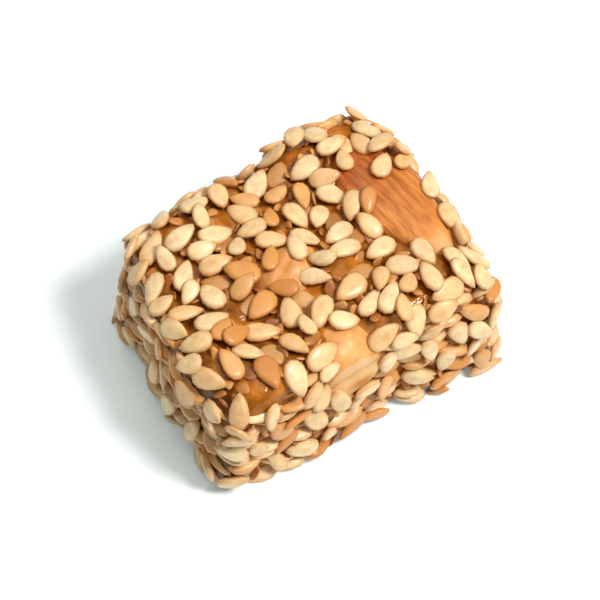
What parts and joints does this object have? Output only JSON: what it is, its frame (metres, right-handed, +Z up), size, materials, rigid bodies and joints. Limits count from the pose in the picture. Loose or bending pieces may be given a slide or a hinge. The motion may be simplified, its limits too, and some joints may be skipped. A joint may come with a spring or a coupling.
{
  "type": "sesame brittle slab",
  "caption": "Hand-cut slab of sesame brittle: toasted seeds and nut pieces set in dark caramel, with a flat base to rest on.",
  "frame": {"origin": "centre of the bounding box, on the flat underside", "axes": "+Z up out of the seeded top, +X along the longer cut sides, towards the end with the almond"},
  "size_m": [0.0303, 0.0255, 0.0149],
  "materials": {
    "sesame_caramel": "toasted sesame seeds in glossy dark caramel",
    "almond": "roasted almond in its red-brown skin",
    "peanut": "roasted peanut, golden tan"
  },
  "bodies": {
    "root": {"brittle_slab": "sesame_caramel", "almond_piece_top": "almond", "peanut_piece_top": "peanut", "peanut_piece_front": "peanut", "peanut_piece_back": "peanut", "almond_sliver_right": "almond"}
  },
  "joints": []
}
